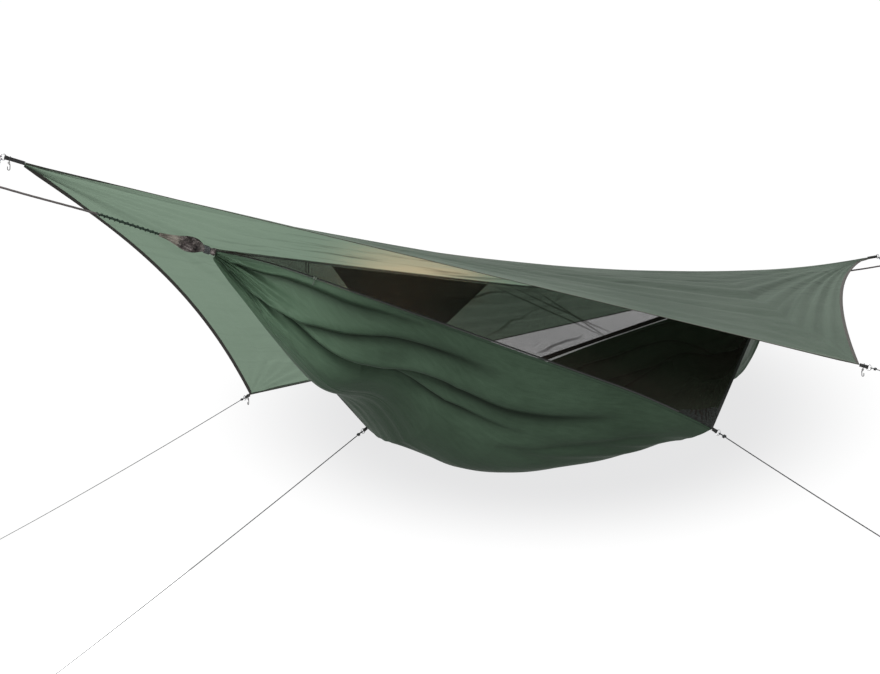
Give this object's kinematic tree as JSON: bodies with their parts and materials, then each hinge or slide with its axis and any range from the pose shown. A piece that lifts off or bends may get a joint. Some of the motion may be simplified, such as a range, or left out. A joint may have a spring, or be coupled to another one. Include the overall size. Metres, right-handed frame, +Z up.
{
  "type": "hammock tent",
  "caption": "Asymmetric gathered-end hammock with insect net, diagonal fly, side guy lines and a strap loop at each end.",
  "frame": {"origin": "middle of the head strap's inner back face, which bears on the tree", "axes": "+X from the head end to the foot end, +Y to the side away from the zip, +Z up"},
  "size_m": [4.6654, 4.4285, 2.1332],
  "materials": {
    "fly_green": "silnylon sheet, grey-green",
    "body_green": "woven nylon, dark green",
    "black_net": "fine insect net, black",
    "dark_webbing": "woven webbing and binding, near black",
    "grey_tape": "seam tape, dark grey",
    "dark_rope": "braided cord, dark grey",
    "grey_metal": "plain steel",
    "black_plastic": "moulded plastic, black"
  },
  "bodies": {
    "tent": {"edge_tape_far": "grey_tape", "edge_tape_foot": "grey_tape", "edge_tape_head": "grey_tape", "fly_binding_foot": "dark_webbing", "fly_binding_head": "dark_webbing", "fly_canopy": "fly_green", "fly_far_keeper": "dark_webbing", "fly_far_line": "dark_rope", "fly_far_loop": "dark_webbing", "fly_foot_loop": "dark_webbing", "fly_foot_slip_knot": "dark_rope", "fly_head_keeper": "dark_webbing", "fly_head_line": "dark_rope", "fly_head_loop": "dark_webbing", "fly_head_slip_knot": "dark_rope", "fly_hem_far": "fly_green", "fly_hem_near": "fly_green", "fly_near_keeper": "dark_webbing", "fly_near_line": "dark_rope", "fly_near_loop": "dark_webbing", "foot_gather": "black_net", "foot_lashing": "dark_rope", "foot_rope": "dark_rope", "foot_strap": "dark_webbing", "foot_whipping": "dark_rope", "hammock_body": "body_green", "head_gather": "black_net", "head_lashing": "dark_rope", "head_rope": "dark_rope", "head_strap": "dark_webbing", "head_whipping": "dark_rope", "net_canopy": "black_net", "ridgeline": "dark_rope", "ridgeline_loop": "dark_webbing", "side_far_line": "dark_rope", "side_far_loop": "dark_webbing", "side_near_line": "dark_rope", "side_near_loop": "dark_webbing", "side_patch_far": "grey_tape", "side_patch_near": "grey_tape", "zip_chain": "black_plastic", "zip_stop_foot": "grey_metal", "zip_stop_head": "grey_metal", "zip_tape_body": "grey_tape", "zip_tape_net": "grey_tape"},
    "slider": {"zip_slider": "grey_metal", "zip_bail": "grey_metal"},
    "pull": {"zip_pull": "grey_metal"},
    "pocket": {"ridgeline_pocket": "black_net", "pocket_tab_head": "dark_webbing", "pocket_tab_foot": "dark_webbing"},
    "fly_far_ring_body": {"fly_far_ring": "grey_metal"},
    "fly_foot_ring_body": {"fly_foot_ring": "grey_metal"},
    "fly_head_ring_body": {"fly_head_ring": "grey_metal"},
    "fly_near_ring_body": {"fly_near_ring": "grey_metal"},
    "side_far_ring_body": {"side_far_ring": "grey_metal"},
    "side_near_ring_body": {"side_near_ring": "grey_metal"},
    "fly_far_hook_body": {"fly_far_hook": "black_plastic"},
    "fly_head_hook_body": {"fly_head_hook": "black_plastic"},
    "fly_near_hook_body": {"fly_near_hook": "black_plastic"}
  },
  "joints": [
    {"name": "zip_slide", "type": "slide", "parent": "tent", "child": "slider", "axis": [0.8917, -0.3224, -0.3176], "range_m": [-0.015, 1.08]},
    {"name": "pull_swing", "type": "hinge", "parent": "slider", "child": "pull", "pos_m": [1.40857, -0.1045, -0.24736], "axis": [0.8917, -0.3224, -0.3176], "range_deg": [-100, 8]},
    {"name": "pocket_swing", "type": "hinge", "parent": "tent", "child": "pocket", "pos_m": [1.83731, 0, -0.19327], "axis": [0.9995, 0, -0.0317], "range_deg": [-25, 25]},
    {"name": "fly_far_ring_spin", "type": "hinge", "parent": "tent", "child": "fly_far_ring_body", "pos_m": [1.56141, 0.95721, -0.60847], "axis": [0.9659, 0.2588, 0], "continuous": true},
    {"name": "fly_foot_ring_spin", "type": "hinge", "parent": "tent", "child": "fly_foot_ring_body", "pos_m": [4.25561, 0, 0.06225], "axis": [0, -1, 0], "continuous": true},
    {"name": "fly_head_ring_spin", "type": "hinge", "parent": "tent", "child": "fly_head_ring_body", "pos_m": [0.40501, 0, 0.07025], "axis": [0, 1, 0], "continuous": true},
    {"name": "fly_near_ring_spin", "type": "hinge", "parent": "tent", "child": "fly_near_ring_body", "pos_m": [3.09921, -0.95721, -0.54647], "axis": [-0.9659, -0.2588, 0], "continuous": true},
    {"name": "side_far_ring_spin", "type": "hinge", "parent": "tent", "child": "side_far_ring_body", "pos_m": [1.93978, 0.61493, -0.7486], "axis": [0.8829, 0.4695, 0], "continuous": true},
    {"name": "side_near_ring_spin", "type": "hinge", "parent": "tent", "child": "side_near_ring_body", "pos_m": [2.72085, -0.61493, -0.7666], "axis": [-0.8829, -0.4695, 0], "continuous": true},
    {"name": "fly_far_hook_swing", "type": "hinge", "parent": "tent", "child": "fly_far_hook_body", "pos_m": [1.56739, 0.93492, -0.61503], "axis": [0.9659, 0.2588, 0], "range_deg": [-60, 60]},
    {"name": "fly_head_hook_swing", "type": "hinge", "parent": "tent", "child": "fly_head_hook_body", "pos_m": [0.42215, 0, 0.05346], "axis": [0, 1, 0], "range_deg": [-60, 60]},
    {"name": "fly_near_hook_swing", "type": "hinge", "parent": "tent", "child": "fly_near_hook_body", "pos_m": [3.09324, -0.93492, -0.55303], "axis": [-0.9659, -0.2588, 0], "range_deg": [-60, 60]}
  ]
}
